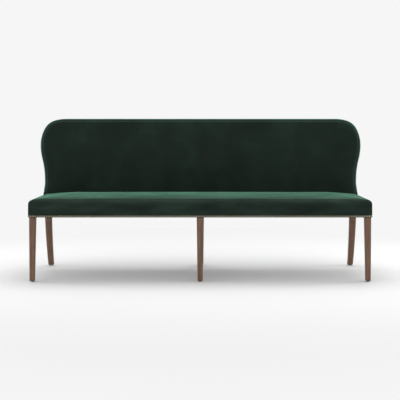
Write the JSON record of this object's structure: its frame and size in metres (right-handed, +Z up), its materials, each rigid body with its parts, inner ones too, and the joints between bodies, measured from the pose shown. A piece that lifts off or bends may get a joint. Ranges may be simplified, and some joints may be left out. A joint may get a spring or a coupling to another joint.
{
  "type": "upholstered dining bench",
  "caption": "Long dining bench with a padded velvet seat and waisted padded back, nail trim along the seat's lower edge, straight tapered front legs and raked rear legs.",
  "frame": {"origin": "bottom centre of the bench's box, on the floor", "axes": "+X along the bench, -Y the way a sitter faces, +Z up"},
  "size_m": [2.07, 0.6273, 0.9596],
  "materials": {
    "stained_wood": "satin brown stain over solid wood with straight grain",
    "beech": "planed and unfinished",
    "green_velvet": "short-pile dark green velvet",
    "foam": "cut upholstery foam",
    "wadding": "soft white polyester wadding",
    "hessian": "plain woven jute",
    "webbing": "woven elastic webbing",
    "dust_cloth": "thin black non-woven cloth",
    "antique_brass": "domed, dull antique brass",
    "glide_metal": "pressed and nickel plated",
    "screw_steel": "zinc plated"
  },
  "bodies": {
    "root": {"back_border_velvet": "green_velvet", "back_foam": "foam", "back_frame_dowels": "beech", "back_front_velvet": "green_velvet", "back_hessian": "hessian", "back_lower_rail_left": "beech", "back_lower_rail_right": "beech", "back_top_rail": "beech", "back_wadding": "wadding", "back_webbing": "webbing", "back_wing_left": "beech", "back_wing_right": "beech", "corner_block_front_left": "beech", "corner_block_front_right": "beech", "corner_block_rear_left": "beech", "corner_block_rear_right": "beech", "corner_block_screws": "screw_steel", "cross_rail": "beech", "dust_cover": "dust_cloth", "front_leg_left": "stained_wood", "front_leg_middle": "stained_wood", "front_leg_right": "stained_wood", "front_rail_left": "beech", "front_rail_right": "beech", "glide_front_left": "glide_metal", "glide_front_middle": "glide_metal", "glide_front_right": "glide_metal", "glide_rear_left": "glide_metal", "glide_rear_middle": "glide_metal", "glide_rear_right": "glide_metal", "nail_trim_front": "antique_brass", "nail_trim_left": "antique_brass", "nail_trim_right": "antique_brass", "outside_back_velvet": "green_velvet", "rear_leg_left": "stained_wood", "rear_leg_middle": "stained_wood", "rear_leg_right": "stained_wood", "rear_rail_left": "beech", "rear_rail_right": "beech", "seat_cross_webbing": "webbing", "seat_foam": "foam", "seat_frame_dowels": "beech", "seat_hessian": "hessian", "seat_long_webbing": "webbing", "seat_side_velvet_left": "green_velvet", "seat_side_velvet_right": "green_velvet", "seat_top_velvet": "green_velvet", "seat_wadding": "wadding", "side_rail_left": "beech", "side_rail_right": "beech"}
  },
  "joints": []
}
